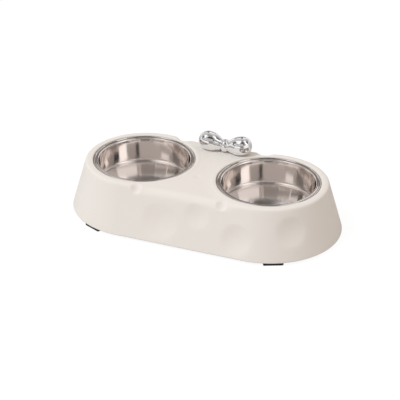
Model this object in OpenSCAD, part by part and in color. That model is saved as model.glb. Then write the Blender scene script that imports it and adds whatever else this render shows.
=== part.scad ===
/* [Stand] */
// Distance between the centres of the two bowls
bowl_spacing = 170; // [166:1:200]
// Width of the stand at its bottom edge, front to back
base_width = 189; // [184:1:204]
// Height of the lips round the bowls above the floor
lip_height = 68.6; // [62:0.2:80]
// Step from the top of the lips down to the plate between them
plate_drop = 1.5; // [1:0.5:4]
// Width of a lip, from the edge of the bowl's seat to the outer wall
lip_width = 9.3; // [8.5:0.1:11]
// Rounding of the outer edge of the lips, as a share of the step down to the plate
lip_round_share = 1.2; // [0.8:0.1:1.3]
// Rounding of the long edges of the plate
plate_round = 7; // [4:0.5:9]
// Thickness of the moulding
wall = 2.6; // [2:0.2:3.2]

/* [Bowls] */
// Outside diameter of a bowl's flange
flange_d = 131; // [126:1:134]
// Width of the flat part of the flange, with its rolled edge
flange_width = 4.5; // [3.5:0.5:6]
// Rounding where the flange turns down into the bowl
mouth_round = 2; // [1.4:0.2:3]
// Depth from the top of the flange to the edge of the bowl's floor
bowl_depth = 33; // [28:0.5:46]
// Inside radius between the bowl's wall and its floor
bowl_corner = 3; // [2:0.5:12]
// Height of the domed floor's middle over its edge
floor_rise = 5; // [1:0.5:8]
// Thickness of the steel
sheet = 0.8; // [0.6:0.1:1.2]
// Diameter of the rolled edge
bead_d = 2.2; // [1.8:0.2:2.8]
// Depth of the flange's top below the top of the lip
flange_sink = 0.8; // [0.4:0.2:1.4]

/* [Bow] */
// Diameter of the fat end of a loop
loop_d = 25.4; // [22:0.2:27]
// Diameter of a loop where it meets the knot
neck_d = 15; // [12:0.5:16]
// Distance from the middle of the knot to the middle of a loop's fat end
loop_reach = 23.5; // [22:0.1:26]
// Height and depth of the knot
knot_d = 17; // [16:0.5:19]
// Width of the knot
knot_width = 11; // [9:0.5:13]
// Rounding of the knot's edges
knot_round = 3.5; // [2.5:0.5:4]
// Distance of the bow from the middle of the stand, to the right
bow_offset = 4.5; // [-5:0.5:5]
// Distance of the bow's centre line from the rear edge of the plate
bow_setback = 18; // [16:0.5:22]

/* [Feet] */
// Length of a rubber foot
foot_length = 25; // [18:1:34]
// Width of a rubber foot
foot_width = 8; // [5:0.5:10]
// Height of the stand's bottom edge above the floor
foot_out = 3.6; // [2:0.2:5]
// Depth of the pocket that a foot is glued into
foot_pocket = 1; // [0.6:0.2:1.6]
// Turn of a foot round the stand's end, from straight to the front or rear, in degrees
foot_turn = 24; // [10:1:60]

/* [Dimples] */
// Depth of the large dimples in the walls
dimple_depth = 2.4; // [1:0.2:3]
// Depth of the small dimples near the top
small_dimple_depth = 1.6; // [0.8:0.2:2]

/* [Hidden] */
$fn = 96;
// Gap between a bowl's rolled edge and the side of its seat
seat_gap = 0.5;
// Gap between a bowl's rolled edge and the floor of its seat
rest_gap = 0.2;
// Gap between the bowl's wall and the hole it hangs in
hole_gap = 1.2;
// Thickness of the collar that hangs below each seat
collar_wall = 2;
// Depth of the collar below the underside of the seat
collar_drop = 8;
// Ribs under the plate, from collar to collar
rib_count = 3;
rib_wall = 1.8;
rib_drop = 8;
rib_pitch = 22;
// How far collars, ribs and lugs reach into what they grow from
root = 1.2;
// Lug round a foot: walls beside it, height and reach to the stand's wall
lug_wall = 2;
lug_height = 5;
// Distance from the bottom edge's outside in to the foot's outer side
foot_inset = 2.2;
// Corner radius of the foot, and its play in the pocket
foot_corner = 1.5;
foot_play = 0.1;
// Flat under each loop, as a depth cut off the ball
bow_flat = 0.6;
// Self-tapping screws that hold the bow from below
screw_d = 3;
screw_head_d = 5.6;
screw_head = 2.2;
screw_bite = 8;
screw_play = 0.05;
// Clear hole for a screw in the plate
screw_hole_play = 0.3;
// How far the outside of a round end reaches past its centre line, over the straight middle
end_lap = 0.1;
// How far a cut runs past the face it leaves
overrun = 1;

// Large dimples in the long walls: place along the wall as a share of half the bowl spacing,
// height and diameter as shares of the lip height
wall_dimple_shares = [[-0.31, 0.44, 0.7], [0.24, 0.69, 0.48], [0.885, 0.375, 0.59]];
// Large dimples round an end: turn from the stand's length in degrees, then height and diameter shares
right_end_dimple_shares = [[-50.4, 0.59, 0.58], [8, 0.64, 0.5]];
left_end_dimple_shares = [[129.6, 0.59, 0.58], [188, 0.64, 0.5]];
// Small dimples on the front edge: place along the edge and diameter shares
edge_dimple_shares = [[-0.745, 0.2], [0.6, 0.22]];
// Small dimple on the plate: place along and across the stand as shares, and diameter share
plate_dimple_shares = [[-0.02, -0.28, 0.14]];

base_r = base_width / 2;
flange_r = flange_d / 2;
recess_r = flange_r + seat_gap;
lip_round = plate_drop * lip_round_share;
lip_r = recess_r + lip_width;
plate_z = lip_height - plate_drop;
flange_z = lip_height - flange_sink;
seat_z = flange_z - bead_d - rest_gap;
seat_under = min(seat_z, plate_z) - wall;
bowl_r = flange_r - flange_width - mouth_round;
floor_edge = bowl_r - bowl_corner;
dome_steps = 720;
dome_r = (floor_edge * floor_edge + floor_rise * floor_rise) / (2 * floor_rise);
hole_r = bowl_r + sheet + hole_gap;
lean = atan((base_r - lip_r) / (lip_height - foot_out));
skin = wall / cos(lean);
edge_turn = (90 + lean) / 2;
edge_y = wall_r(plate_z) - corner_reach(plate_round) + plate_round * cos(edge_turn);
edge_z = plate_z - plate_round + plate_round * sin(edge_turn);
bow_z = plate_z - bow_flat;
bow_y = wall_r(plate_z) - bow_setback;
neck_reach = knot_width / 2;
foot_r = base_r - foot_inset - foot_width / 2;
foot_height = foot_out + foot_pocket;

// Distance of the outer wall from the stand's middle line at a height
function wall_r(z) = lip_r + (lip_height - z) * tan(lean);

// Distance from the corner of wall and top to where its rounding starts
function corner_reach(corner) = corner * tan((90 - lean) / 2);

// Half of a wall's section: upright at the left, leaning wall at the right, rounded top corner
module half_section(bottom, top, inset, corner) {
    reach = corner_reach(corner);
    corner_x = wall_r(top) - inset - reach;
    polygon([
        [0, bottom],
        [wall_r(bottom) - inset, bottom],
        [wall_r(top) - inset + reach * sin(lean), top - reach * cos(lean)],
        [corner_x, top],
        [0, top]
    ]);
    intersection() {
        translate([corner_x, top - corner]) circle(r = corner);
        translate([0, top - 2 * corner]) square([wall_r(bottom), 2 * corner]);
    }
}

// One round end of the stand, turned about its bowl's centre line
module end_form(side, bottom, top, inset, corner) {
    translate([side * bowl_spacing / 2, 0, 0])
        rotate_extrude() half_section(bottom, top, inset, corner);
}

// The straight middle of the stand, which stops a lap short of the bowls' centre lines
module middle_form(bottom, top, inset, corner, lap) {
    rotate([90, 0, 90]) linear_extrude(bowl_spacing - 2 * lap, center = true) {
        half_section(bottom, top, inset, corner);
        mirror([1, 0, 0]) half_section(bottom, top, inset, corner);
    }
}

// Ball that leaves a shallow dimple of a given diameter and depth in a face
module dimple_ball(at, turn, tilt, diameter, depth, extra) {
    ball_r = (pow(diameter / 2, 2) + pow(depth, 2)) / (2 * depth);
    away = ball_r - depth;
    translate(at) rotate([0, 0, turn])
        translate([away * cos(tilt), 0, away * sin(tilt)]) sphere(r = ball_r + extra);
}

module wall_dimples(side, extra) {
    for (d = wall_dimple_shares) {
        z = d[1] * lip_height;
        dimple_ball([-side * d[0] * bowl_spacing / 2, side * wall_r(z), z], side * 90, lean,
            d[2] * lip_height, dimple_depth, extra);
    }
}

module end_dimples(side, shares, extra) {
    for (d = shares) {
        z = d[1] * lip_height;
        dimple_ball([side * bowl_spacing / 2 + wall_r(z) * cos(d[0]), wall_r(z) * sin(d[0]), z], d[0], lean,
            d[2] * lip_height, dimple_depth, extra);
    }
}

module small_dimples(extra) {
    for (d = edge_dimple_shares)
        dimple_ball([d[0] * bowl_spacing / 2, -edge_y, edge_z], -90, edge_turn,
            d[1] * lip_height, small_dimple_depth, extra);
    for (d = plate_dimple_shares)
        dimple_ball([d[0] * bowl_spacing / 2, d[1] * wall_r(plate_z), plate_z], 0, 90,
            d[2] * lip_height, small_dimple_depth, extra);
}

module all_dimples(extra) {
    wall_dimples(-1, extra);
    wall_dimples(1, extra);
    end_dimples(1, right_end_dimple_shares, extra);
    end_dimples(-1, left_end_dimple_shares, extra);
    small_dimples(extra);
}

module outer_form() {
    difference() {
        union() {
            for (side = [-1, 1]) end_form(side, foot_out, lip_height, 0, lip_round);
            middle_form(foot_out, plate_z, 0, plate_round, end_lap);
        }
        all_dimples(0);
    }
}

// The hollow under the stand, one wall's thickness inside the outer form
module hollow_form() {
    difference() {
        union() {
            for (side = [-1, 1]) end_form(side, foot_out - overrun, seat_under, skin, lip_round);
            middle_form(foot_out - overrun, seat_under, skin, lip_round, 0);
        }
        all_dimples(wall);
    }
}

// Ring-shaped groove that keeps each lip one wall thick
module lip_groove(side) {
    translate([side * bowl_spacing / 2, 0, seat_under - overrun])
        difference() {
            cylinder(r = wall_r(seat_under) - skin - lip_round, h = lip_height - wall - seat_under + overrun);
            translate([0, 0, -overrun])
                cylinder(r = recess_r + wall, h = lip_height);
        }
}

module collar(side) {
    translate([side * bowl_spacing / 2, 0, seat_under - collar_drop])
        cylinder(r = hole_r + collar_wall, h = collar_drop + root);
}

module ribs() {
    for (i = [0 : rib_count - 1]) {
        rib_y = (i - (rib_count - 1) / 2) * rib_pitch;
        translate([-bowl_spacing / 2, rib_y - rib_wall / 2, seat_under - rib_drop])
            cube([bowl_spacing, rib_wall, rib_drop + root]);
    }
}

// Places a child at one foot: the foot's middle lies on +Y from the end's centre
module at_foot(side, end) {
    translate([side * bowl_spacing / 2, 0, 0])
        rotate([0, 0, end > 0 ? -side * foot_turn : 180 + side * foot_turn])
            translate([0, foot_r, 0]) children();
}

module foot_outline(play) {
    l = foot_length + 2 * play;
    w = foot_width + 2 * play;
    c = foot_corner + play;
    square([l - 2 * c, w], center = true);
    square([l, w - 2 * c], center = true);
    for (x = [-1, 1], y = [-1, 1])
        translate([x * (l / 2 - c), y * (w / 2 - c)]) circle(r = c);
}

// Block that carries a foot, grown from the inside of the wall
module foot_lug(side, end) {
    lug_top = foot_out + lug_height;
    intersection() {
        at_foot(side, end)
            translate([-foot_length / 2 - lug_wall, -foot_width / 2 - lug_wall, foot_out])
                cube([foot_length + 2 * lug_wall, foot_width + 2 * lug_wall + foot_inset, lug_height]);
        translate([side * bowl_spacing / 2, 0, foot_out])
            cylinder(r1 = wall_r(foot_out) - skin + root, r2 = wall_r(lug_top) - skin + root, h = lug_height);
    }
}

module bow_place(x) {
    translate([bow_offset + x, bow_y, 0]) children();
}

module base_shell() color("antiquewhite") {
    difference() {
        union() {
            difference() {
                outer_form();
                hollow_form();
                for (side = [-1, 1]) lip_groove(side);
            }
            for (side = [-1, 1]) collar(side);
            ribs();
            for (side = [-1, 1], end = [-1, 1]) foot_lug(side, end);
        }
        for (side = [-1, 1]) translate([side * bowl_spacing / 2, 0, 0]) {
            cylinder(r = hole_r, h = lip_height + overrun);
            translate([0, 0, seat_z]) cylinder(r = recess_r, h = lip_height);
        }
        for (side = [-1, 1], end = [-1, 1]) at_foot(side, end)
            translate([0, 0, foot_out - overrun])
                linear_extrude(foot_pocket + overrun) foot_outline(foot_play);
        for (x = [-loop_reach, loop_reach]) bow_place(x)
            cylinder(r = screw_d / 2 + screw_hole_play, h = lip_height);
    }
}

// Section of the domed floor: two equal arcs, one sheet apart
module floor_section(floor_z) {
    difference() {
        intersection() {
            translate([0, floor_z + floor_rise - dome_r]) circle(r = dome_r, $fn = dome_steps);
            translate([0, floor_z - sheet]) square([floor_edge, sheet + floor_rise]);
        }
        translate([0, floor_z - sheet + floor_rise - dome_r]) circle(r = dome_r, $fn = dome_steps);
    }
}

// Section of a pressed bowl, from its middle line out to the rolled edge
module bowl_section() {
    floor_z = flange_z - bowl_depth;
    difference() {
        union() {
            floor_section(floor_z);
            translate([bowl_r, floor_z + bowl_corner])
                square([sheet, bowl_depth - bowl_corner - mouth_round]);
            translate([floor_edge, floor_z + bowl_corner])
                intersection() {
                    circle(r = bowl_corner + sheet);
                    translate([0, -bowl_corner - sheet]) square(bowl_corner + sheet);
                }
        }
        translate([floor_edge, floor_z + bowl_corner]) circle(r = bowl_corner);
    }
    translate([bowl_r + mouth_round, flange_z - mouth_round])
        difference() {
            intersection() {
                circle(r = mouth_round);
                translate([-mouth_round, 0]) square(mouth_round);
            }
            circle(r = mouth_round - sheet);
        }
    translate([bowl_r + mouth_round, flange_z - sheet])
        square([flange_width - bead_d / 2, sheet]);
    translate([flange_r - bead_d / 2, flange_z - bead_d / 2]) circle(d = bead_d);
}

module bowl(side) color("silver") {
    translate([side * bowl_spacing / 2, 0, 0]) rotate_extrude() bowl_section();
}

module foot(side, end) color([0.1, 0.1, 0.1]) {
    at_foot(side, end) linear_extrude(foot_height) foot_outline(0);
}

// Round balloon form that narrows from its fat end to its neck, turned about its own axis
module loop_form() {
    rise = (loop_d - neck_d) / 2;
    length = sqrt(pow(loop_reach - neck_reach, 2) + pow(rise, 2));
    tilt = atan(rise / (loop_reach - neck_reach));
    taper = asin((loop_d - neck_d) / 2 / length);
    translate([loop_reach, 0, bow_z + loop_d / 2]) rotate([0, -90 - tilt, 0])
        rotate_extrude() intersection() {
            union() {
                circle(d = loop_d);
                translate([0, length]) circle(d = neck_d);
                polygon([
                    [0, 0],
                    [loop_d / 2 * cos(taper), loop_d / 2 * sin(taper)],
                    [neck_d / 2 * cos(taper), length + neck_d / 2 * sin(taper)],
                    [0, length]
                ]);
            }
            translate([0, -loop_d]) square([loop_d, length + 2 * loop_d]);
        }
}

module bow_loop(side) color("gainsboro") {
    bow_place(0) difference() {
        intersection() {
            if (side > 0) loop_form();
            else mirror([1, 0, 0]) loop_form();
            translate([side > 0 ? neck_reach : -neck_reach - 2 * loop_reach, -loop_d, plate_z])
                cube([2 * loop_reach, 2 * loop_d, 2 * loop_d]);
        }
        translate([side * loop_reach, 0, plate_z - overrun])
            cylinder(r = screw_d / 2 + screw_play, h = screw_bite + screw_play + overrun);
    }
}

module bow_knot() color("gainsboro") {
    bow_place(0) translate([0, 0, plate_z + knot_d / 2]) rotate([0, 90, 0])
        rotate_extrude() intersection() {
            union() {
                translate([0, -knot_width / 2]) square([knot_d / 2 - knot_round, knot_width]);
                translate([0, knot_round - knot_width / 2]) square([knot_d / 2, knot_width - 2 * knot_round]);
                for (y = [-1, 1])
                    translate([knot_d / 2 - knot_round, y * (knot_width / 2 - knot_round)])
                        circle(r = knot_round);
            }
            translate([0, -knot_width]) square([knot_d, 2 * knot_width]);
        }
}

module bow_screws() color("darkgray") {
    for (x = [-loop_reach, loop_reach]) bow_place(x) {
        translate([0, 0, seat_under - screw_head]) cylinder(d = screw_head_d, h = screw_head);
        translate([0, 0, seat_under - screw_head])
            cylinder(d = screw_d, h = screw_head + plate_z - seat_under + screw_bite);
    }
}

base_shell();
bowl(-1);  // left_bowl
bowl(1);  // right_bowl
foot(-1, -1);  // front_left_foot
foot(1, -1);  // front_right_foot
foot(-1, 1);  // rear_left_foot
foot(1, 1);  // rear_right_foot
bow_loop(-1);  // bow_left_loop
bow_loop(1);  // bow_right_loop
bow_knot();
bow_screws();
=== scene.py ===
# %% [markdown]
# # A double pet bowl, dressed over its CAD frame
# The stand is one cream moulding, two steel bowls hang loose in it, a bright bow is screwed on
# from below, and the stand rests on rubber strips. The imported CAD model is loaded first, because
# every piece made here takes its place and its sizes from it.

# %% Load the frame
import math
import bpy
from mathutils import Matrix, Vector


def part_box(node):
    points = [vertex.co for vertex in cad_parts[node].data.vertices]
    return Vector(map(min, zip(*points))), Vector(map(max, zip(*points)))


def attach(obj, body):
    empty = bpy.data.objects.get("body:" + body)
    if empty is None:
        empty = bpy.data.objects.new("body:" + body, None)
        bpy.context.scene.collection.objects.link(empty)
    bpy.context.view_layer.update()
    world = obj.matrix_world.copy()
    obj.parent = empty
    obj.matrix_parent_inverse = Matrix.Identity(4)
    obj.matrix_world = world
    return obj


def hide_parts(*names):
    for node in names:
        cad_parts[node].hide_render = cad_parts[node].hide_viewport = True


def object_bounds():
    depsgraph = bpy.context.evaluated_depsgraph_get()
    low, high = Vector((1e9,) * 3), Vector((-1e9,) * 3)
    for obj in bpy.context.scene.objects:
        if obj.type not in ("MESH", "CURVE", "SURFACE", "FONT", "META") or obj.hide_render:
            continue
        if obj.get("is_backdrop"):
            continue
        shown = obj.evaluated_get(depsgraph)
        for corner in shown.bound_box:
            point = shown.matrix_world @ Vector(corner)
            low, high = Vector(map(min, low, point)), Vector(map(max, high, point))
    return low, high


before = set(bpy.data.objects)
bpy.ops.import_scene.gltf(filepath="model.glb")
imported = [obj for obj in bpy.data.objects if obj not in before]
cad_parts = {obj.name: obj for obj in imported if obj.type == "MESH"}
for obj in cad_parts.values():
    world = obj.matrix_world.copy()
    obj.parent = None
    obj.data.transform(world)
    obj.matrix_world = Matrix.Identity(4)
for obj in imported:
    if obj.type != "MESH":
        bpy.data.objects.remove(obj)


def short(numbers):
    """Numbers rounded to a tenth of a millimetre, for the prints."""
    return [round(number, 4) for number in numbers]


cad_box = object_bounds()
print("CAD box", [short(corner) for corner in cad_box])

# %% [markdown]
# ## Sizes from the frame
# Centres, radii and heights are read off the CAD solids' boxes, so that the dressed model follows
# the part if its source changes. Only what a box can't tell is written here, such as the wall's
# thickness, the plays and the roundings.

# %% Read the sizes
mm = 0.001
shell_low, shell_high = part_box("base_shell")
bowl_low, bowl_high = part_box("right_bowl")
knot_low, knot_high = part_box("bow_knot")
bowl_x = (bowl_low.x + bowl_high.x) / 2
flange_r = (bowl_high.x - bowl_low.x) / 2
flange_z = bowl_high.z
base_r = shell_high.y
base_z = shell_low.z
lip_z = shell_high.z
plate_z = knot_low.z
print("bowl centres at x", round(bowl_x, 4), "flange radius", round(flange_r, 4), "lip", round(lip_z, 4))

# %% Sizes that a box can't tell
wall = 2.6 * mm
sheet = 0.8 * mm
bead_d = 2.2 * mm
bead_play = 0.2 * mm
seat_gap = 0.5 * mm
lip_width = 9.3 * mm
flange_width = 4.5 * mm
mouth_round = 2 * mm
hole_play = 1.2 * mm
seat_r = flange_r + seat_gap
seat_z = flange_z - bead_d - bead_play
lip_r = seat_r + lip_width
bowl_r = flange_r - flange_width - mouth_round
hole_r = bowl_r + sheet + hole_play
lean = math.atan((base_r - lip_r) / (lip_z - base_z))
print("radii of bowl, hole, seat and lip", short((bowl_r, hole_r, seat_r, lip_r)),
      "lean", round(math.degrees(lean), 2))

# %% [markdown]
# ## Picking what a step works on
# An operator acts on everything that is selected, and the frame comes in selected. So each step
# starts from an empty selection, and the points, edges or faces that it needs are then picked by
# their place, as a hand would pick them with the mouse.

# %% Pick a piece, or places on it
def deselect():
    if bpy.context.mode != "OBJECT":
        bpy.ops.object.mode_set(mode="OBJECT")
    bpy.ops.object.select_all(action="DESELECT")


def activate(piece):
    """Select one piece alone, in object mode."""
    deselect()
    piece.select_set(True)
    bpy.context.view_layer.objects.active = piece


def everywhere(co):
    return True


def pick(piece, kind, wanted):
    """Open a piece in edit mode, with the points, edges or faces selected that lie in a wanted place."""
    activate(piece)
    bpy.ops.object.mode_set(mode="EDIT")
    bpy.ops.mesh.select_mode(type=kind)
    bpy.ops.mesh.select_all(action="DESELECT")
    bpy.ops.object.mode_set(mode="OBJECT")
    mesh = piece.data
    inside = [wanted(v.co) for v in mesh.vertices]
    items = {"VERT": mesh.vertices, "EDGE": mesh.edges, "FACE": mesh.polygons}[kind]
    for item in items:
        item.select = inside[item.index] if kind == "VERT" else all(inside[i] for i in item.vertices)
    bpy.ops.object.mode_set(mode="EDIT")


print("selected after loading:", len(bpy.context.selected_objects))
deselect()
print("selected now:", len(bpy.context.selected_objects))

# %% [markdown]
# ## The form of the stand's top
# The moulding has soft transitions: a crowned lip runs round each bowl and eases down into the
# plate between them, which rises a little to its middle, and every outer edge is rounded into
# the leaning wall. It could be sculpted, but seen from above such a surface has one height at
# each place, so it is said as a height over the plan, which is exact and easy to change. The
# mesh is laid out flat in rings and rows first, and then raised to it.

# %% Heights over the plan
lip_round = 3.6 * mm
crest_in = 3.6 * mm
lip_crest = seat_r + crest_in
lip_fall = 0.4 * mm
plate_round = 12 * mm
plate_crown = 0.5 * mm
plate_half = 46 * mm
blend_width = 14 * mm
blend_length = 30 * mm


def ease(t):
    """A soft step from 0 to 1."""
    t = min(max(t, 0), 1)
    return t * t * (3 - 2 * t)


def from_spine(x, y):
    """Distance from the line that joins the bowls' centres."""
    return math.hypot(max(abs(x) - bowl_x, 0), y)


def from_bowl(x, y):
    """Distance from the nearer bowl's centre."""
    return math.hypot(abs(x) - bowl_x, y)


def wall_height(d):
    """Height of the leaning wall at a distance from the spine."""
    return lip_z - (d - lip_r) / math.tan(lean)


def rounded_edge(d, top, radius):
    """Height of a level top that is rounded into the leaning wall."""
    corner = lip_r + (lip_z - top) * math.tan(lean)
    start = corner - radius * math.tan((math.pi / 2 - lean) / 2)
    if d <= start:
        return top
    if d < start + radius * math.cos(lean):
        return top - radius + math.sqrt(radius ** 2 - (d - start) ** 2)
    return wall_height(d)


def lip_top(r):
    """The lip's top falls a little to both sides of its crest."""
    return lip_z - lip_fall * min(1, (r - lip_crest) / crest_in) ** 2


def form_height(x, y):
    """The lip's top turns softly into the plate's top as a point lies farther from its bowl."""
    away = ease((from_bowl(x, y) - lip_crest) / blend_width) * ease((bowl_x - abs(x)) / blend_length)
    crown = plate_crown * (1 - (x / plate_half) ** 2)
    top = lip_top(from_bowl(x, y)) * (1 - away) + (plate_z + crown) * away
    return rounded_edge(from_spine(x, y), top, lip_round + (plate_round - lip_round) * away)


print("heights at the crest, the middle and the bottom edge",
      short(form_height(*place) for place in ((bowl_x + lip_crest, 0), (0, 0), (0, base_r))))

# %% [markdown]
# ## Laying out the stand's skin
# The section of an end is drawn once, from the edge of the hole under the bowl over the lip and
# down to the bottom edge, and spun half round the bowl. A line is drawn as by hand: one point is
# set down, and the next ones are extruded from it. A shorter section makes the inner half of the
# lip. The other end is a mirrored copy, and bridges join the two: one over the plate and one
# along each long wall, cut across often enough to hold the dimples. A grid pushed into shape
# would do too, but its rows would not follow the round lips.

# %% Draw and spin one end
weld_gap = 0.002 * mm
half_steps = 120
joint_r = 76.5 * mm
wall_steps = 27
seat_round = 0.7 * mm
seat_line = [(hole_r, seat_z), (hole_r + 2 * mm, seat_z), (seat_r - seat_round, seat_z),
             (seat_r - 0.2 * mm, seat_z + 0.2 * mm), (seat_r, seat_z + seat_round),
             (seat_r, lip_z - 1.5 * mm)]
mouth_line = [(seat_r + 0.12 * mm, lip_z - 1.1 * mm), (seat_r + 0.4 * mm, lip_z - 0.72 * mm)]
ring_offsets = (0.8, 1.4, 2.2, 3.2, 4.2, 5.2, 6, 6.7, 7.3, 7.9, 8.4, 8.9, 9.4, 9.9)
ring_rows = [seat_r + offset * mm for offset in ring_offsets] + [joint_r]
wall_rows = [joint_r + (base_r - joint_r) * i / wall_steps for i in range(1, wall_steps + 1)]
inner_line = seat_line + mouth_line + [(r, plate_z) for r in ring_rows]
outer_line = inner_line + [(r, plate_z) for r in wall_rows]


def draw_line(name, points):
    """Draw a line of points: the first is set down, each next one is extruded from it."""
    deselect()
    bpy.ops.mesh.primitive_plane_add(size=mm)
    line = bpy.context.object
    line.name = line.data.name = name
    bpy.ops.object.mode_set(mode="EDIT")
    bpy.ops.mesh.select_mode(type="VERT")
    bpy.ops.mesh.merge(type="CENTER")
    bpy.ops.transform.translate(value=points[0])
    for here, there in zip(points, points[1:]):
        step = Vector(there) - Vector(here)
        bpy.ops.mesh.extrude_vertices_move(TRANSFORM_OT_translate={"value": step})
    bpy.ops.object.mode_set(mode="OBJECT")
    return line


def close_up(piece):
    """Merge doubled points and point the faces outwards."""
    pick(piece, "VERT", everywhere)
    bpy.ops.mesh.remove_doubles(threshold=weld_gap)
    bpy.ops.mesh.normals_make_consistent(inside=False)
    bpy.ops.object.mode_set(mode="OBJECT")


def spin(piece, steps, degrees, centre=(0, 0, 0), axis=(0, 0, 1)):
    """Spin a drawn line about an axis. Seen from above, a positive angle turns clockwise."""
    pick(piece, "VERT", everywhere)
    bpy.ops.mesh.spin(steps=steps, angle=math.radians(degrees), center=centre, axis=axis)
    close_up(piece)


def reach_of(piece, axis):
    """The lowest and highest place of a piece's points on axis 0, 1 or 2."""
    places = [v.co[axis] for v in piece.data.vertices]
    return short((min(places), max(places)))


skin = draw_line("stand_shell", [(bowl_x, -r, z) for r, z in outer_line])
spin(skin, half_steps, -180, centre=(bowl_x, 0, 0))
inner_skin = draw_line("lip_inner_half", [(bowl_x, -r, z) for r, z in inner_line])
spin(inner_skin, half_steps, 180, centre=(bowl_x, 0, 0))
print("the long section spans x", reach_of(skin, 0), "and the short one", reach_of(inner_skin, 0))

# %% Mirror the end and bridge the two
bridge_cuts = 99
near = 0.02 * mm


def join(piece, others):
    """Make the other pieces part of this one."""
    deselect()
    for part in (*others, piece):
        part.select_set(True)
    bpy.context.view_layer.objects.active = piece
    bpy.ops.object.join()


def copy_of(piece, name):
    """A copy with a mesh of its own."""
    twin = piece.copy()
    twin.data = piece.data.copy()
    twin.name = twin.data.name = name
    bpy.context.scene.collection.objects.link(twin)
    return twin


def mirror(piece, middle_x):
    """Flip a piece over to the other side of a middle."""
    pick(piece, "VERT", everywhere)
    bpy.ops.transform.resize(value=(-1, 1, 1), center_override=(middle_x, 0, 0))
    bpy.ops.object.mode_set(mode="OBJECT")


def on_lip_border(co):
    return abs(from_bowl(co.x, co.y) - joint_r) < near and abs(co.x) < bowl_x + near


join(skin, [inner_skin])
other_end = copy_of(skin, "other_end")
mirror(other_end, 0)
join(skin, [other_end])
pick(skin, "EDGE", on_lip_border)
bpy.ops.mesh.bridge_edge_loops(number_cuts=bridge_cuts, interpolation="LINEAR")
for side in (-1, 1):
    pick(skin, "EDGE", lambda co: abs(abs(co.x) - bowl_x) < near and side * co.y > joint_r - near)
    bpy.ops.mesh.bridge_edge_loops(number_cuts=bridge_cuts, interpolation="LINEAR")
close_up(skin)
print("skin laid out:", len(skin.data.polygons), "faces")

# %% Raise the skin to its heights
# inside this radius the skin keeps the heights that it was drawn with
drawn_r = seat_r + 0.6 * mm


def face_out(piece):
    """Point the faces outwards."""
    pick(piece, "VERT", everywhere)
    bpy.ops.mesh.normals_make_consistent(inside=False)
    bpy.ops.object.mode_set(mode="OBJECT")


def face_up(piece, wanted):
    """An open sheet has no inside, so its faces are turned over if the wanted ones look down."""
    up = sum(face.normal.z * face.area for face in piece.data.polygons if wanted(face.center))
    if up < 0:
        pick(piece, "VERT", everywhere)
        bpy.ops.mesh.flip_normals()
        bpy.ops.object.mode_set(mode="OBJECT")


for v in skin.data.vertices:
    if from_bowl(v.co.x, v.co.y) > drawn_r:
        v.co.z = form_height(v.co.x, v.co.y)
face_out(skin)
face_up(skin, everywhere)
print("skin raised over heights", reach_of(skin, 2))

# %% [markdown]
# ## Pressing the dimples
# The walls carry large shallow dimples and the plate's long edges a few small ones, as if thumbs
# had pressed the clay of the model. Proportional editing does just that: the point in the middle
# is pushed in and its neighbours follow, less and less towards the edge of the chosen circle. The
# inverse square falloff leaves a round dish with a clear rim, and the smooth one a soft hollow:
# each dimple is pressed with both, in its own mixture, because the real ones differ in this.
# The small ones need a finer net, so the faces round them are cut up first.

# %% Press a dimple
dish_reach = 0.5
hollow_reach = 0.57
fine_reach = 0.75
same_point = 1e-7


def press(place, inwards, diameter, depth, soft, fine=False):
    """Push the skin in at a place, over a circle of a given diameter."""
    place = Vector(place)
    if fine:
        pick(skin, "FACE", lambda co: (co - place).length < diameter * fine_reach)
        bpy.ops.mesh.subdivide(number_cuts=1)
        bpy.ops.object.mode_set(mode="OBJECT")
    centre = min(skin.data.vertices, key=lambda v: (v.co - place).length).co.copy()
    pick(skin, "VERT", lambda co: (co - centre).length < same_point)
    dish = ("INVERSE_SQUARE", 1 - soft, dish_reach)
    hollow = ("SMOOTH", soft, hollow_reach)
    for falloff, share, reach in (dish, hollow):
        push = Vector(inwards).normalized() * depth * share
        bpy.ops.transform.translate(value=push, use_proportional_edit=True,
                                    proportional_edit_falloff=falloff, proportional_size=diameter * reach)
    bpy.ops.object.mode_set(mode="OBJECT")


def press_wall(x, height, side, diameter, depth, soft):
    """A dimple in a long wall: side is -1 at the front and 1 at the rear."""
    d = lip_r + (lip_z - height) * math.tan(lean)
    press((x, side * d, height), (0, -side * math.cos(lean), -math.sin(lean)), diameter, depth, soft)


def press_end(side, turn, height, diameter, depth, soft):
    """A dimple in an end's round wall: side is -1 at the left and 1 at the right."""
    d = lip_r + (lip_z - height) * math.tan(lean)
    way = Vector((math.cos(math.radians(turn)), math.sin(math.radians(turn)), 0))
    inwards = (-way.x * math.cos(lean), -way.y * math.cos(lean), -math.sin(lean))
    press((side * bowl_x + d * way.x, d * way.y, height), inwards, diameter, depth, soft)


# place along the front wall, height, diameter, depth (mm), and how soft: the rear wall has the same
# ones, turned round
wall_dimples = ((-26.6, 30, 48, 2.3, 0.35), (20.3, 47.2, 33, 2, 0.35), (75.2, 25.3, 40, 2.9, 0.3))
for x, height, diameter, depth, soft in wall_dimples:
    press_wall(x * mm, height * mm, -1, diameter * mm, depth * mm, soft)
    press_wall(-x * mm, height * mm, 1, diameter * mm, depth * mm, soft)
# turn round the right end in degrees, height, diameter, depth (mm), and how soft
end_dimples = ((-50.4, 40.2, 39.4, 2.7, 0.2), (8, 43.5, 34, 2.2, 0.3))
for turn, height, diameter, depth, soft in end_dimples:
    press_end(1, turn, height * mm, diameter * mm, depth * mm, soft)
    press_end(-1, turn + 180, height * mm, diameter * mm, depth * mm, soft)
print("dimples pressed:", 2 * len(wall_dimples), "along the walls,", 2 * len(end_dimples), "at the ends")

# %% Press the dents in the plate
dent_z = 65.3 * mm
dent_soft = 0.5
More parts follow.
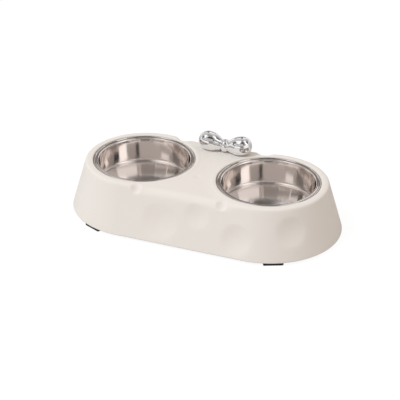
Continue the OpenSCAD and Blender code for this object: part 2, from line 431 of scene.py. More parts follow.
# place on the plate's long edges, diameter, depth (mm)
edge_dents = ((-63.3, -75, 15, 3.2), (51, -75, 15, 3.2), (-59.5, 75, 24, 4.2), (55, 75, 24, 4))
for x, y, diameter, depth in edge_dents:
    inwards = (0, math.copysign(0.6, -y), -0.8)
    press((x * mm, y * mm, dent_z), inwards, diameter * mm, depth * mm, dent_soft, fine=True)
plate_dent = (-1.9 * mm, -21.3 * mm, plate_z)
press(plate_dent, (0, 0, -1), diameter=10 * mm, depth=0.6 * mm, soft=0.6, fine=True)
print("dents pressed:", len(edge_dents) + 1, "and the skin has", len(skin.data.polygons), "faces")

# %% [markdown]
# ## The wall's thickness and the underside
# A moulding has one wall thickness everywhere, so the skin is thickened inwards. Its bottom rim is
# then levelled and its corners are broken. Collars below the holes, ribs under the plate, lugs for
# the feet and bosses for the screws are grown from the inside, as in the real moulding. They only
# need to reach a little way into the wall, so each is a simple piece joined to the skin.

# %% Thicken the skin
rim_top = base_z + 0.05 * mm
rim_round = 1.5 * mm
rim_break = 0.5 * mm


def apply_modifier(piece, kind, **settings):
    """Add a modifier to a piece, set it and apply it."""
    activate(piece)
    bpy.ops.object.modifier_add(type=kind)
    modifier = piece.modifiers[-1]
    for key, value in settings.items():
        setattr(modifier, key, value)
    bpy.ops.object.modifier_apply(modifier=modifier.name)


def bevel_edges(piece, wanted, offset, segments):
    """Round the edges that lie in a wanted place."""
    pick(piece, "EDGE", wanted)
    bpy.ops.mesh.bevel(offset=offset, segments=segments, affect="EDGES")
    bpy.ops.object.mode_set(mode="OBJECT")


apply_modifier(skin, "SOLIDIFY", thickness=wall, offset=-1,
               use_even_offset=True, use_quality_normals=True)
pick(skin, "VERT", lambda co: co.z < rim_top and from_spine(co.x, co.y) > base_r - 6 * mm)
bpy.ops.transform.resize(value=(1, 1, 0), center_override=(0, 0, base_z))
bpy.ops.object.mode_set(mode="OBJECT")
bevel_edges(skin, lambda co: co.z < rim_top and from_spine(co.x, co.y) > base_r - 0.4 * mm,
            offset=rim_round, segments=4)
bevel_edges(skin, lambda co: co.z < rim_top and from_spine(co.x, co.y) < base_r - 2 * mm,
            offset=rim_break, segments=2)
print("bottom rim bevelled; the skin now reaches over heights", reach_of(skin, 2))

# %% Collars below the holes
under_z = seat_z - wall
deep = 8 * mm
collar_line = [(hole_r, under_z + mm), (hole_r, under_z - deep + 0.5 * mm),
               (hole_r + 0.5 * mm, under_z - deep), (hole_r + 1.5 * mm, under_z - deep),
               (hole_r + 2 * mm, under_z - deep + 0.5 * mm),
               (hole_r + 2.2 * mm, under_z + mm), (hole_r, under_z + mm)]


def turned_piece(name, line, x, y, steps):
    """Turn a piece as on a lathe: a line of radii and heights is spun round an upright axis at x, y."""
    piece = draw_line(name, [(x + r, y, z) for r, z in line])
    spin(piece, steps, 360, centre=(x, y, 0))
    return piece


growths = [turned_piece("collar", collar_line, side * bowl_x, 0, steps=96) for side in (-1, 1)]
print("collars reach over heights", reach_of(growths[0], 2))

# %% Ribs under the plate
rib_pitch = 22 * mm
half_rib = 0.9 * mm
rib_root = 2.4 * mm
rib_break = 0.3 * mm


def settle(piece):
    """Put the place of a piece into its mesh, so that its object sits at the origin."""
    activate(piece)
    bpy.ops.object.transform_apply(location=True, rotation=True, scale=True)


def block(name, low, high, rounding):
    """A moulded block with broken edges, from its lowest to its highest corner."""
    deselect()
    low, high = Vector(low), Vector(high)
    bpy.ops.mesh.primitive_cube_add(size=1, location=(low + high) / 2)
    piece = bpy.context.object
    piece.name = piece.data.name = name
    bpy.ops.object.mode_set(mode="EDIT")
    bpy.ops.transform.resize(value=high - low, center_override=(low + high) / 2)
    bpy.ops.mesh.bevel(offset=rounding, segments=2, affect="EDGES")
    bpy.ops.object.mode_set(mode="OBJECT")
    settle(piece)
    return piece


for y in (-rib_pitch, 0, rib_pitch):
    reach = bowl_x - math.sqrt((hole_r + mm) ** 2 - y * y)
    rib_low = (-reach, y - half_rib, under_z - deep)
    rib_high = (reach, y + half_rib, under_z + rib_root)
    growths.append(block("rib", rib_low, rib_high, rib_break))
print("the middle rib spans x", reach_of(growths[-2], 0), "and an outer one", reach_of(growths[-1], 0))

# %% Bosses for the screws
head_r = 2.8 * mm
bore_r = 1.8 * mm
boss_height = 4 * mm
screw_low, screw_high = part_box("bow_screws")
screw_y = (screw_low.y + screw_high.y) / 2
screw_xs = [screw_low.x + head_r, screw_high.x - head_r]
boss_line = [(bore_r, under_z + boss_height), (bore_r, under_z), (4 * mm, under_z),
             (4.4 * mm, under_z + 0.4 * mm), (4.8 * mm, under_z + boss_height),
             (bore_r, under_z + boss_height)]
for x in screw_xs:
    growths.append(turned_piece("boss", boss_line, x, screw_y, steps=32))
print("screws at", short(screw_xs), round(screw_y, 4))

# %% Lugs with a pocket for each foot
foot_names = ["front_left_foot", "front_right_foot", "rear_left_foot", "rear_right_foot"]
foot_length = 25 * mm
foot_width = 8 * mm
foot_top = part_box(foot_names[0])[1].z
foot_places = []
for name in foot_names:
    low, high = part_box(name)
    centre = (low + high) / 2
    side = 1 if centre.x > 0 else -1
    turn = math.atan2(centre.y, centre.x - side * bowl_x) - math.pi / 2
    foot_places.append((centre.x, centre.y, turn))


def placed_copy(piece, name, x, y=0, turn=0):
    """A copy that is turned about Z and then moved, in its own mesh."""
    twin = copy_of(piece, name)
    twin.data.transform(Matrix.Translation((x, y, 0)) @ Matrix.Rotation(turn, 4, "Z"))
    return twin


lug_low = (-foot_length / 2 - 0.7 * mm, -foot_width / 2 - 0.9 * mm, base_z)
lug_high = (foot_length / 2 + 0.7 * mm, foot_width / 2 + 0.35 * mm, base_z + 3.4 * mm)
lug = block("lug", lug_low, lug_high, 0.25 * mm)
pick(lug, "FACE", lambda co: co.z < base_z + 0.01 * mm)
bpy.ops.mesh.inset(thickness=0.2 * mm)
bpy.ops.mesh.extrude_region_move(TRANSFORM_OT_translate={"value": (0, 0, foot_top - base_z + 0.1 * mm)})
bpy.ops.object.mode_set(mode="OBJECT")
for place in foot_places:
    growths.append(placed_copy(lug, "lug_copy", *place))
bpy.data.objects.remove(lug)
print("feet at", [short(place[:2]) for place in foot_places])

# %% Join the stand
def smooth(piece, degrees):
    """Shade a piece smooth, but for the edges that are sharper than an angle."""
    activate(piece)
    bpy.ops.object.shade_smooth_by_angle(angle=math.radians(degrees))


join(skin, growths)
smooth(skin, degrees=40)
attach(skin, "stand")
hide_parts("base_shell")
print("stand:", len(skin.data.polygons), "faces")

# %% [markdown]
# ## The steel bowls
# A real bowl is pressed and spun from one sheet, with its edge rolled over. Its section is drawn
# as one line, from the curl of the rolled edge over the flange and down to the middle of the
# floor, which rises in a low dome, then spun all round and given the sheet's thickness on its
# hidden side. Extruding and scaling a circle ring by ring would give the same bowl, but the line
# shows the whole profile in one place.

# %% Draw the bowl's section
floor_z = bowl_low.z + sheet
bowl_corner = 3 * mm
floor_r = bowl_r - bowl_corner
dome = 5 * mm
bead_r = bead_d / 2
bead_x = flange_r - bead_r
flange_drop = 0.4 * mm
# inwards from the flange's edge and down from its top (mm): a groove behind the bead, then the flat
groove = ((2.0, 0.8), (2.25, 0.95), (2.55, 0.8), (2.8, 0.5), (3.1, 0.42), (4.1, 0.4))
# down the wall from the flange's top (mm), then shares of the floor's radius
wall_drops = (7, 13, 19, 25)
floor_shares = (0.985, 0.96, 0.92, 0.86, 0.78, 0.68, 0.56, 0.43, 0.3, 0.17, 0.07, 0)


def arc(cx, cz, r, first, last, count):
    """Points of an arc in a section, as (distance from the axis, height)."""
    turns = [math.radians(first + (last - first) * i / count) for i in range(count + 1)]
    return [(cx + r * math.cos(t), cz + r * math.sin(t)) for t in turns]


section = arc(bead_x, flange_z - bead_r, bead_r, -150, 128, 16)
section += [(flange_r - inwards * mm, flange_z - drop * mm) for inwards, drop in groove]
section += arc(bowl_r + mouth_round, flange_z - flange_drop - mouth_round, mouth_round, 86, 180, 10)
section += [(bowl_r, flange_z - drop * mm) for drop in wall_drops]
section += arc(floor_r, floor_z + bowl_corner, bowl_corner, 0, -82, 14)
section += [(floor_r * share, floor_z + dome * (1 - share ** 2)) for share in floor_shares]
print("the section has", len(section), "points, from radius", round(section[0][0], 4), "to the middle")

# %% Spin one bowl and copy it
right_bowl = turned_piece("right_steel_bowl", section, bowl_x, 0, steps=192)
face_up(right_bowl, lambda co: abs(co.z - floor_z) < 2 * mm)
apply_modifier(right_bowl, "SOLIDIFY", thickness=sheet, offset=-1, use_even_offset=True)
smooth(right_bowl, degrees=50)
left_bowl = placed_copy(right_bowl, "left_steel_bowl", -2 * bowl_x)
for bowl, node in ((right_bowl, "right_bowl"), (left_bowl, "left_bowl")):
    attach(bowl, node)
    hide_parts(node)
print("bowl:", len(right_bowl.data.polygons), "faces over heights", reach_of(right_bowl, 2))

# %% [markdown]
# ## The bow
# Each loop is a plated balloon form, fat as an egg, that lies on the plate and narrows to a neck.
# It could be a sphere pulled out at one end, but half an outline, drawn along its own axis and
# spun round it, controls the taper. Its underside is then set flat on the plate. The knot between
# them is a short barrel with soft shoulders.

# %% Spin a loop and mirror it
neck_height = 8.5 * mm
knot_x = (knot_low.x + knot_high.x) / 2
bow_y = (knot_low.y + knot_high.y) / 2
loop_boxes = [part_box("bow_left_loop"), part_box("bow_right_loop")]
loop_low, loop_high = loop_boxes[0]
fat_r = (loop_high.y - loop_low.y) / 2
fat_x = loop_low.x + fat_r
fat_z = loop_high.z - fat_r
along = Vector((knot_low.x - fat_x, 0, plate_z + neck_height - fat_z))
# shares of the length along the axis, and of the fattest radius there
egg_shares = ((0.08, 1), (0.2, 0.995), (0.32, 0.98), (0.43, 0.95), (0.54, 0.895), (0.64, 0.83),
              (0.74, 0.765), (0.83, 0.705), (0.92, 0.65), (1, 0.61), (1.07, 0.59), (1.12, 0))
outline = [(x, -z) for x, z in arc(0, 0, fat_r, -180, -94, 16)]
outline[0] = (-fat_r, 0)
outline += [(far * along.length, width * fat_r) for far, width in egg_shares]
left_loop = draw_line("left_bow_loop", [(x, 0, z) for x, z in outline])
spin(left_loop, 64, 360, axis=(1, 0, 0))
apply_modifier(left_loop, "SUBSURF", levels=1, render_levels=1)
lie = math.atan2(-along.z, along.x)
left_loop.data.transform(Matrix.Translation((fat_x, bow_y, fat_z)) @ Matrix.Rotation(lie, 4, "Y"))
for v in left_loop.data.vertices:
    v.co.z = max(v.co.z, plate_z)
smooth(left_loop, degrees=60)
right_loop = copy_of(left_loop, "right_bow_loop")
mirror(right_loop, knot_x)
face_out(right_loop)
for loop, node in ((left_loop, "bow_left_loop"), (right_loop, "bow_right_loop")):
    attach(loop, "stand")
    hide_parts(node)
right_span = short([corner.x for corner in loop_boxes[1]])
print("loop lies at", round(math.degrees(lie), 1), "degrees, over heights", reach_of(left_loop, 2))
print("right loop over x", reach_of(right_loop, 0), "and its solid over", right_span)

# %% Spin the knot
knot_r = (knot_high.z - knot_low.z) / 2
knot_half = (knot_high.x - knot_low.x) / 2
knot_z = knot_low.z + knot_r
shoulder_r = 4.6 * mm
shoulder_drop = 4.7 * mm
cap_share = 0.42
knot_line = [(-knot_half, 0), (-knot_half, knot_r * cap_share)]
knot_line += arc(-knot_half + shoulder_r, knot_r - shoulder_drop, shoulder_r, 180, 94, 8)
knot_line += [(0, knot_r)] + [(-x, z) for x, z in reversed(knot_line)]
knot = draw_line("bow_centre_knot", [(knot_x + x, bow_y, knot_z + z) for x, z in knot_line])
spin(knot, 48, 360, centre=(knot_x, bow_y, knot_z), axis=(1, 0, 0))
smooth(knot, degrees=60)
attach(knot, "stand")
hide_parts("bow_knot")
print("knot reaches over x", reach_of(knot, 0), "y", reach_of(knot, 1), "z", reach_of(knot, 2))

# %% [markdown]
# ## The screws
# Two self-tapping screws hold the bow, and can only be seen from below: a domed head with a cross
# recess and a threaded shank. The thread is drawn as rings, not as a helix, because it is buried
# in the bow. The cross is cut with two blocks, where drawing it face by face would be fiddly.

# %% Make a screw and copy it
head_low = screw_low.z
shank_top = screw_high.z
head_height = 2.2 * mm
shank_r = 1.5 * mm
thread_depth = 0.3 * mm
thread_rise = 0.4 * mm
threads = 9
screw_line = [(0, head_low), (1.2 * mm, head_low), (2.2 * mm, head_low + 0.35 * mm),
              (head_r, head_low + 1.1 * mm), (head_r, head_low + head_height),
              (shank_r, head_low + head_height)]
for i in range(threads):
    z = head_low + 3 * mm + i * (shank_top - head_low - 4.5 * mm) / threads
    screw_line += [(shank_r - thread_depth, z), (shank_r, z + thread_rise),
                   (shank_r - thread_depth, z + 2 * thread_rise)]
screw_line += [(0, shank_top)]
screw = turned_piece("bow_screw_left", screw_line, screw_xs[0], screw_y, steps=32)
cross_long = 1.5 * mm
cross_short = 0.35 * mm
for half_x, half_y in ((cross_long, cross_short), (cross_short, cross_long)):
    cut_low = (screw_xs[0] - half_x, screw_y - half_y, head_low - mm)
    cut_high = (screw_xs[0] + half_x, screw_y + half_y, head_low + mm)
    cutter = block("cross", cut_low, cut_high, 0.1 * mm)
    apply_modifier(screw, "BOOLEAN", operation="DIFFERENCE", object=cutter, solver="EXACT")
    bpy.data.objects.remove(cutter)
smooth(screw, degrees=40)
screw_twin = placed_copy(screw, "bow_screw_right", screw_xs[1] - screw_xs[0])
for piece in (screw, screw_twin):
    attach(piece, "stand")
    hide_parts("bow_screws")
print("screw:", len(screw.data.polygons), "faces over heights", reach_of(screw, 2))

# %% [markdown]
# ## The rubber feet
# Each foot is cut from ribbed rubber strip and glued into its lug. It is a plane with rounded
# corners, extruded to its height. The grooves across its underside could be cut with a boolean,
# but bisecting the face and sinking the narrow strips keeps the mesh clean.

# %% Make a foot and copy it
corner_round = 1.5 * mm
sole = 0.01 * mm
sole_break = 0.35 * mm
groove_pitch = 2.4 * mm
half_groove = 0.35 * mm
groove_depth = 0.35 * mm
deselect()
bpy.ops.mesh.primitive_plane_add(size=1)
foot = bpy.context.object
foot.name = foot.data.name = "rubber_foot"
bpy.ops.object.mode_set(mode="EDIT")
bpy.ops.transform.resize(value=(foot_length, foot_width, 1))
bpy.ops.mesh.bevel(offset=corner_round, segments=5, affect="VERTICES")
bpy.ops.mesh.extrude_region_move(TRANSFORM_OT_translate={"value": (0, 0, foot_top)})
close_up(foot)
bevel_edges(foot, lambda co: co.z < sole, offset=sole_break, segments=2)
for i in range(-4, 5):
    groove_x = i * groove_pitch
    for edge_x in (groove_x - half_groove, groove_x + half_groove):
        pick(foot, "VERT", everywhere)
        bpy.ops.mesh.bisect(plane_co=(edge_x, 0, 0), plane_no=(1, 0, 0))
        bpy.ops.object.mode_set(mode="OBJECT")
    pick(foot, "FACE", lambda co: abs(co.x - groove_x) < 0.4 * mm and co.z < sole)
    bpy.ops.mesh.inset(thickness=0.12 * mm)
    bpy.ops.transform.translate(value=(0, 0, groove_depth))
    bpy.ops.object.mode_set(mode="OBJECT")
smooth(foot, degrees=40)
for name, place in zip(foot_names, foot_places):
    piece = placed_copy(foot, "rubber_" + name, *place)
    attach(piece, "stand")
    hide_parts(name)
print("foot:", len(foot.data.polygons), "faces over heights", reach_of(foot, 2))
bpy.data.objects.remove(foot)

# %% [markdown]
# ## Finishes
# A finish could come from pictures laid on the mesh. Here each is built from nodes on Object
# coordinates instead, so that it keeps to its piece and stays sharp from close by. Most finishes
# need the same few nodes, so these get helpers: a noise pattern, a range that a value is
# stretched to, and a relief that only the shading sees.

# %% Helpers for materials
def new_material(name, colour, metallic, roughness):
    """A material and its shader."""
    material = bpy.data.materials.new(name)
    material.use_nodes = True
    shader = material.node_tree.nodes["Principled BSDF"]
    shader.inputs["Base Color"].default_value = (*colour, 1)
    shader.inputs["Metallic"].default_value = metallic
    shader.inputs["Roughness"].default_value = roughness
    return material, shader


def add_node(material, kind, **settings):
    """A node of a material or of the world, with its sockets or its own properties set."""
    node = material.node_tree.nodes.new(kind)
    for key, value in settings.items():
        if key in node.inputs:
            node.inputs[key].default_value = value
        else:
            setattr(node, key, value)
    return node


def wire(material, out_socket, in_socket):
    material.node_tree.links.new(out_socket, in_socket)


def object_place(material, location=(0, 0, 0)):
    """Object coordinates through a Mapping node, which moves the pattern."""
    place = add_node(material, "ShaderNodeTexCoord")
    mapping = add_node(material, "ShaderNodeMapping", Location=location)
    wire(material, place.outputs["Object"], mapping.inputs["Vector"])
    return mapping.outputs["Vector"]


def noise(material, place, scale, detail, roughness=0.5):
    """A cloudy pattern between 0 and 1, with about as many clouds to a metre as its scale."""
    cloud = add_node(material, "ShaderNodeTexNoise", Scale=scale, Detail=detail, Roughness=roughness)
    wire(material, place, cloud.inputs["Vector"])
    return cloud.outputs["Fac"]


def stretch(material, value, start, end, low, high):
    """A value that runs from start to end is made to run from low to high, and stops there."""
    node = add_node(material, "ShaderNodeMapRange")
    for socket, number in (("From Min", start), ("From Max", end), ("To Min", low), ("To Max", high)):
        node.inputs[socket].default_value = number
    wire(material, value, node.inputs["Value"])
    return node.outputs["Result"]


def relief(material, height, strength, distance):
    """A bump node, which makes the shading follow a height pattern."""
    bump = add_node(material, "ShaderNodeBump", Strength=strength, Distance=distance)
    wire(material, height, bump.inputs["Height"])
    return bump


def dress(pieces, material):
    """Give pieces this material alone."""
    for piece in pieces:
        piece.data.materials.clear()
        piece.data.materials.append(material)


print("materials before dressing:", len(bpy.data.materials), "from the frame")

# %% [markdown]
# ### Cream plastic
# The moulding is satin: it is through-coloured plastic with the fine grain of its mould. Plain
# white would look like plaster, so a faint mottle shifts the tone and the gloss by a few parts
# in a hundred, and the grain is a relief far too fine to model.

# %% Dress the stand
cream, cream_shader = new_material("satin_cream", (0.83, 0.77, 0.71), metallic=0, roughness=0.5)
cream_shader.inputs["Specular IOR Level"].default_value = 0.3
where = object_place(cream)
mottle = noise(cream, where, scale=26.0, detail=4.0, roughness=0.55)
# a Mix node of colours has its two colours in sockets 6 and 7, and its result in output 2
tint = add_node(cream, "ShaderNodeMix", data_type="RGBA")
tint.inputs[6].default_value = (0.835, 0.775, 0.715, 1)
tint.inputs[7].default_value = (0.815, 0.757, 0.702, 1)
wire(cream, mottle, tint.inputs[0])
wire(cream, tint.outputs[2], cream_shader.inputs["Base Color"])
sheen = stretch(cream, mottle, start=0, end=1, low=0.52, high=0.64)
wire(cream, sheen, cream_shader.inputs["Roughness"])
grain = relief(cream, noise(cream, where, scale=1400.0, detail=2.0), strength=0.12, distance=0.05 * mm)
wire(cream, grain.outputs["Normal"], cream_shader.inputs["Normal"])
dress([skin], cream)
print("the stand wears", skin.data.materials[0].name)

# %% [markdown]
# ### Polished steel
# The bowls are mirror polished: what is seen in them is their surroundings. Spinning leaves faint
# rings, the sheet wavers a little, and the floor is duller than the wall. Dark rings of painted
# shade lie in the groove behind the rolled edge and at the rim, where the bowl meets its seat. All
# of this depends on the distance from the bowl's own axis and on the height, so both are worked
# out in the material. A picture wrapped on the bowl would do it too, but would need a seam.

# %% Dress the bowls
steel_colour = (0.86, 0.8, 0.765)
# the painted shade is warmer as it is darker: it loses more green, and still more blue
painted_shade_warming = (1, 1.15, 1.25)
painted_shade_width = 6 * mm
# share of the painted shade's width towards the flange's edge, and the tone there: the shade is painted
# in the groove behind the bead and at the flange's edge
painted_shade_tones = ((0.5, 1), (0.58, 0.45), (0.64, 0.45), (0.7, 1), (0.9, 1), (1, 0.3))
dull_z = floor_z + 5 * mm
bright_z = floor_z + 9 * mm
dull_floor = 0.15
bright_wall = 0.04
ring_dullness = 0.03


def length_of(material, x, y):
    """The length of a flat vector."""
    flat = add_node(material, "ShaderNodeCombineXYZ")
    wire(material, x, flat.inputs["X"])
    wire(material, y, flat.inputs["Y"])
    reach = add_node(material, "ShaderNodeVectorMath", operation="LENGTH")
    wire(material, flat.outputs["Vector"], reach.inputs[0])
    return reach.outputs["Value"]


def add_painted_shade(material, shader, radius):
    """Paint shade as dark rings on the flange, in the groove behind the bead and at its edge, by the
    distance from the bowl's axis.
    """
    painted_shade_ramp = add_node(material, "ShaderNodeValToRGB")
    stops = painted_shade_ramp.color_ramp.elements
    stops[0].position = painted_shade_tones[0][0]
    stops[1].position = painted_shade_tones[-1][0]
    for spot, tone in painted_shade_tones[1:-1]:
        stops.new(spot)
    for stop, (spot, tone) in zip(stops, painted_shade_tones):
        stop.color = (*[part * tone ** power for part, power in zip(steel_colour, painted_shade_warming)], 1)
    towards_edge = stretch(material, radius, start=flange_r - painted_shade_width, end=flange_r, low=0, high=1)
    wire(material, towards_edge, painted_shade_ramp.inputs["Fac"])
    wire(material, painted_shade_ramp.outputs["Color"], shader.inputs["Base Color"])


def steel(name, centre_x):
    """Mirror steel with spun rings about the bowl's own axis."""
    material, shader = new_material(name, steel_colour, metallic=1, roughness=0.09)
    place = object_place(material, location=(-centre_x, 0, 0))
    apart = add_node(material, "ShaderNodeSeparateXYZ")
    wire(material, place, apart.inputs["Vector"])
    radius = length_of(material, apart.outputs["X"], apart.outputs["Y"])
    rings_at = add_node(material, "ShaderNodeCombineXYZ")
    wire(material, radius, rings_at.inputs["X"])
    wire(material, apart.outputs["Z"], rings_at.inputs["Z"])
    rings = noise(material, rings_at.outputs["Vector"], scale=900.0, detail=3.0)
    fine = relief(material, rings, strength=0.06, distance=0.03 * mm)
    waver = noise(material, place, scale=38.0, detail=1.0)
    broad = relief(material, waver, strength=0.25, distance=0.6 * mm)
    wire(material, fine.outputs["Normal"], broad.inputs["Normal"])
    wire(material, broad.outputs["Normal"], shader.inputs["Normal"])
    # painted shade in the base colour: dark rings in the flange's groove and at its edge
    add_painted_shade(material, shader, radius)
    dullness = stretch(material, apart.outputs["Z"], start=dull_z, end=bright_z,
                       low=dull_floor, high=bright_wall)
    rough = add_node(material, "ShaderNodeMath", operation="MULTIPLY_ADD")
    rough.inputs[1].default_value = ring_dullness
    wire(material, rings, rough.inputs[0])
    wire(material, dullness, rough.inputs[2])
    wire(material, rough.outputs[0], shader.inputs["Roughness"])
    return material


dress([right_bowl], steel("spun_steel_right", bowl_x))
dress([left_bowl], steel("spun_steel_left", -bowl_x))
print("the bowls wear", right_bowl.data.materials[0].name, "and", left_bowl.data.materials[0].name)

# %% [markdown]
# ### Bright plating, zinc and rubber
# The bow is plated: brighter and smoother than the steel, with a slight ripple of the moulding
# below. The screws are zinc plated, dull in patches. The rubber is nearly black, and a fine
# speck in its relief breaks up the shine. Each takes one noise pattern, which is enough for
# pieces that are so small.

# %% Dress the bow, the screws and the feet
chrome, chrome_shader = new_material("chrome_plating", (0.9, 0.9, 0.91), metallic=1, roughness=0.05)
ripple = noise(chrome, object_place(chrome), scale=120.0, detail=1.0)
chrome_relief = relief(chrome, ripple, strength=0.1, distance=0.1 * mm)
wire(chrome, chrome_relief.outputs["Normal"], chrome_shader.inputs["Normal"])
dress([left_loop, right_loop, knot], chrome)

zinc, zinc_shader = new_material("zinc_screw", (0.62, 0.62, 0.63), metallic=1, roughness=0.35)
scuff = noise(zinc, object_place(zinc), scale=900.0, detail=3.0)
wire(zinc, stretch(zinc, scuff, start=0, end=1, low=0.25, high=0.5), zinc_shader.inputs["Roughness"])
dress([screw, screw_twin], zinc)

rubber, rubber_shader = new_material("ribbed_rubber", (0.008, 0.008, 0.008), metallic=0, roughness=0.7)
speck = noise(rubber, object_place(rubber), scale=1800.0, detail=2.0)
rubber_relief = relief(rubber, speck, strength=0.3, distance=0.1 * mm)
wire(rubber, rubber_relief.outputs["Normal"], rubber_shader.inputs["Normal"])
dress([bpy.data.objects["rubber_" + name] for name in foot_names], rubber)
print("finishes:", [m.name for m in bpy.data.materials if m.users])

# %% [markdown]
# ## The floor
# The background is white paper lit evenly. A lamp strong enough to make paper white would bleach
# the cream, so the paper glows by itself for the camera and for mirrors, and a faint diffuse part
# keeps the object's shadow. Under the stand the paper doesn't glow: it is plain and lit by what
# falls through the holes, as it shows once the bowls are lifted. That place is the stand's own
# outline, drawn by the distance from the line between the bowls. It is moved a little away from
# the camera, which sees a narrow strip of the open floor below the front edge.

# %% Make the floor
view_turn = 21.93
floor_size = 12
paper_glow = 0.93
shade_shift = 6 * mm
shade_start = base_r - 5.5 * mm
shade_end = base_r - 0.5 * mm


def towards(turn, height):
    """The direction from the object, turned from the front to the right and raised, in degrees."""
    a, e = math.radians(turn), math.radians(height)
    return Vector((math.sin(a) * math.cos(e), -math.cos(a) * math.cos(e), math.sin(e)))


def calculate(material, operation, first, second=None):
    """A Math node over a socket and, if there is one, a second socket or plain number."""
    node = add_node(material, "ShaderNodeMath", operation=operation)
    wire(material, first, node.inputs[0])
    if isinstance(second, bpy.types.NodeSocket):
        wire(material, second, node.inputs[1])
    elif second is not None:
        node.inputs[1].default_value = second
    return node.outputs[0]


def rays_of(material, *kinds):
    """1 for rays of these kinds and 0 for all others."""
    path = add_node(material, "ShaderNodeLightPath")
    seen = path.outputs[kinds[0]]
    for kind in kinds[1:]:
        seen = calculate(material, "MAXIMUM", seen, path.outputs[kind])
    return seen


def blend(material, share, first, second):
    """Two shaders mixed: a share of 0 gives the first and 1 the second."""
    mixer = add_node(material, "ShaderNodeMixShader")
    for socket, source in zip(mixer.inputs, (share, first, second)):
        wire(material, source, socket)
    return mixer.outputs[0]


deselect()
bpy.ops.mesh.primitive_plane_add(size=floor_size)
floor = bpy.context.object
floor.name = "paper_floor"
floor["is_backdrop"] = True
paper = bpy.data.materials.new("white_paper")
paper.use_nodes = True
paper.node_tree.nodes.clear()
bright = add_node(paper, "ShaderNodeEmission", Color=(1, 1, 1, 1), Strength=paper_glow)
faint = add_node(paper, "ShaderNodeBsdfDiffuse", Color=(0.1, 0.1, 0.1, 1))
both = add_node(paper, "ShaderNodeAddShader")
wire(paper, bright.outputs[0], both.inputs[0])
wire(paper, faint.outputs[0], both.inputs[1])
plain = add_node(paper, "ShaderNodeBsdfDiffuse", Color=(0.7, 0.69, 0.68, 1))
spot = add_node(paper, "ShaderNodeSeparateXYZ")
wire(paper, object_place(paper, location=shade_shift * towards(view_turn, 0)), spot.inputs["Vector"])
past_centre = calculate(paper, "SUBTRACT", calculate(paper, "ABSOLUTE", spot.outputs["X"]), bowl_x)
from_middle = length_of(paper, calculate(paper, "MAXIMUM", past_centre, 0), spot.outputs["Y"])
outside = stretch(paper, from_middle, start=shade_start, end=shade_end, low=0, high=1)
open_paper = calculate(paper, "MULTIPLY", rays_of(paper, "Is Camera Ray", "Is Glossy Ray"), outside)
paper_out = add_node(paper, "ShaderNodeOutputMaterial")
wire(paper, blend(paper, open_paper, plain.outputs[0], both.outputs[0]), paper_out.inputs["Surface"])
dress([floor], paper)
print("the floor is plain within", round(shade_start, 4), "and white beyond", round(shade_end, 4))

# %% [markdown]
# ## The world and the key light
# The world is white for what the camera, mirrors and glass see, and a softer, warm light for matt
# surfaces. One broad distant lamp from the left models the walls. It is cool, because the cream
# is warmer in the photograph where it lies in the shade. Mirrors don't see the lamp, because a
# hard round spot in each bowl would look wrong: the panels of the next step give the highlights.

# %% Light the object
world = bpy.data.worlds.new("studio")
bpy.context.scene.world = world
world.use_nodes = True
world.node_tree.nodes.clear()
ambient = add_node(world, "ShaderNodeBackground", Color=(1, 0.927, 0.865, 1), Strength=0.66)
white = add_node(world, "ShaderNodeBackground", Color=(1, 1, 1, 1))
seen = rays_of(world, "Is Camera Ray", "Is Glossy Ray", "Is Transmission Ray")
world_out = add_node(world, "ShaderNodeOutputWorld")
wire(world, blend(world, seen, ambient.outputs[0], white.outputs[0]), world_out.inputs["Surface"])
bpy.context.scene.view_settings.view_transform = "Standard"


def add_sun(name, turn, height, strength, spread, colour):
    """A broad distant lamp: its turn is counted from the camera, to the right; angles in degrees."""
    deselect()
    bpy.ops.object.light_add(type="SUN")
    lamp = bpy.context.object
    lamp.name = name
    lamp.rotation_euler = towards(view_turn + turn, height).to_track_quat("Z", "Y").to_euler()
    lamp.data.energy = strength
    lamp.data.angle = math.radians(spread)
    lamp.data.color = colour
    lamp.visible_glossy = False


add_sun("key", turn=-68, height=52, strength=1.68, spread=22, colour=(0.8, 0.905, 1))

# %% [markdown]
# ## What the metal reflects
# Polished metal shows what stands round it. So a ring of pale, grey and dark panels, a ceiling
# and a rug stand far off like the walls of a studio, and only reflections see them. Each panel
# makes one band or patch in the bowls, which is why they are so many: a photographed room would
# give such bands too, but these can be moved one by one.

# %% Stand up the panels
ring_r = 3.0
panel_step = 4
ceiling_z = 12.1
rug_r = 2.9
# how much blue a black card would lose, and the shares of that which red, green and blue lose
card_warmth = 0.12
warm_shares = (0, 0.7, 1)
all_but_reflections = ("visible_camera", "visible_diffuse", "visible_transmission", "visible_shadow",
                       "visible_volume_scatter")


def make_card(card, brightness):
    """Give a card its tone, warmer as it is darker, and leave it to reflections alone."""
    warmth = card_warmth * max(0, 1 - brightness)
    colour = [brightness * (1 - warmth * share) for share in warm_shares]
    for flag in all_but_reflections:
        setattr(card, flag, False)
    glow = bpy.data.materials.new(card.name)
    glow.use_nodes = True
    glow.node_tree.nodes.clear()
    shine = add_node(glow, "ShaderNodeEmission", Color=(*colour, 1), Strength=1.0)
    end = add_node(glow, "ShaderNodeOutputMaterial")
    wire(glow, shine.outputs[0], end.inputs["Surface"])
    dress([card], glow)
    card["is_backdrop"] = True


def add_panel(name, first_turn, last_turn, low, high, brightness):
    """A bent panel of the ring: an upright line at its first turn is spun to its last."""
    foot_point = towards(view_turn + first_turn, 0) * ring_r
    tall = [foot_point + Vector((0, 0, ring_r * math.tan(math.radians(h)))) for h in (low, high)]
    panel = draw_line(name, [tuple(point) for point in tall])
    spin(panel, max(2, int((last_turn - first_turn) / panel_step)), first_turn - last_turn)
    make_card(panel, brightness)


def add_disc(name, radius, height, brightness):
    """A level card over or under the object."""
    deselect()
    bpy.ops.mesh.primitive_circle_add(vertices=48, radius=radius, fill_type="NGON",
                                      location=(0, 0, height))
    disc = bpy.context.object
    disc.name = name
    make_card(disc, brightness)


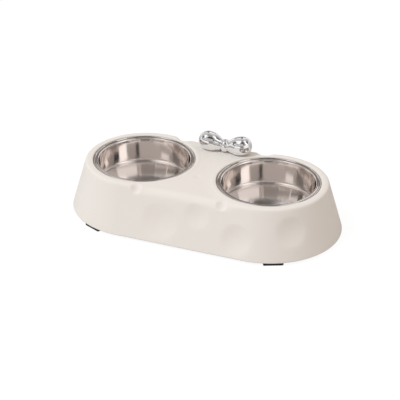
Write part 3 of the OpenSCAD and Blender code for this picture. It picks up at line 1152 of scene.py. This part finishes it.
panels = [
    # name, from and to round the object, from and to in height (degrees), brightness
    ("softbox_left", -104, -50, 48, 76, 1.12),
    ("softbox_right", 53, 79, 28, 54, 1.35),
    ("softbox_right_top", 58, 104, 54, 76, 1.1),
    ("left_grey_edge", -50, -32, 54, 68, 0.5),
    ("high_dark_middle", -32, 32, 54, 76, 0.08),
    ("high_grey_right", 32, 58, 54, 76, 0.35),
    ("middle_upper", -50, 16, 38, 54, 0.52),
    ("middle_lower", -46, 16, 30, 38, 0.52),
    ("dark_line", 16, 26, 30, 54, 0.06),
    ("right_grey", 26, 53, 30, 54, 0.4),
    ("left_pale", -74, -50, 38, 48, 1),
    ("left_edge", -84, -74, 30, 48, 0.4),
    ("left_mid", -74, -46, 30, 38, 0.38),
    ("left_dark", -112, -84, 24, 48, 0.2),
    ("right_dark", 79, 98, 30, 52, 0.03),
    ("right_far_grey", 98, 126, 30, 54, 0.3),
    ("low_dark_middle", -26, 10, 0, 29, 0.31),
    ("low_grey_right", 10, 22, 0, 27, 0.5),
    ("low_pale_right", 22, 79, 0, 27, 0.95),
    ("low_grey_left", -58, -26, 16, 26, 0.3),
    ("low_light_left", -58, -26, 0, 16, 1),
    ("low_dark_left", -98, -60, 17, 24, 0.1),
    ("rear_low", 156, 204, 14, 30, 0.2),
    ("rear_dark", 172, 188, 30, 50, 0.1),
    ("rear_light_right", 150, 172, 30, 50, 1),
    ("rear_light_left", 188, 210, 30, 50, 0.8),
    ("rear_high", 104, 226, 50, 76, 0.6),
    ("rear_high_left", -134, -104, 56, 76, 0.6),
    ("rear_far_right", 126, 150, 14, 50, 0.6),
    ("rear_far_left", 210, 226, 14, 50, 0.6),
    ("right_low", 79, 126, 0, 27, 0.6),
    ("left_low", -106, -58, 0, 16, 0.8),
    ("side_dark_left", -134, -112, 0, 56, 0.6),
]
for panel in panels:
    add_panel(*panel)
add_disc("grey_ceiling", ring_r, ceiling_z, brightness=0.35)
add_disc("grey_rug", rug_r, mm, brightness=0.5)
print(len(panels), "panels, a ceiling and a rug stand round the object")

# %% [markdown]
# ## Camera
# The camera's place was found by fitting the outlines of both flanges and of the stand to the
# photograph: it looks down at about 29 degrees, from the front and a little to the right. A long
# lens from nearly two metres keeps the far bowl almost as large as the near one.

# %% Set up the camera
view_height = 28.68
view_distance = 1.8262
aim = Vector((-7.68 * mm, 0, 21.85 * mm))
back = towards(view_turn, view_height)
camera_data = bpy.data.cameras.new("camera")
camera = bpy.data.objects.new("camera", camera_data)
bpy.context.scene.collection.objects.link(camera)
camera.location = aim + back * view_distance
camera.rotation_euler = back.to_track_quat("Z", "Y").to_euler()
camera_data.sensor_width = 36
camera_data.lens = 127.6
camera_data.clip_start = 0.05
bpy.context.scene.camera = camera
print("camera at", short(camera.location))

# %% Print the dressed box and finish
dressed_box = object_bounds()
print("dressed box", [short(corner) for corner in dressed_box])
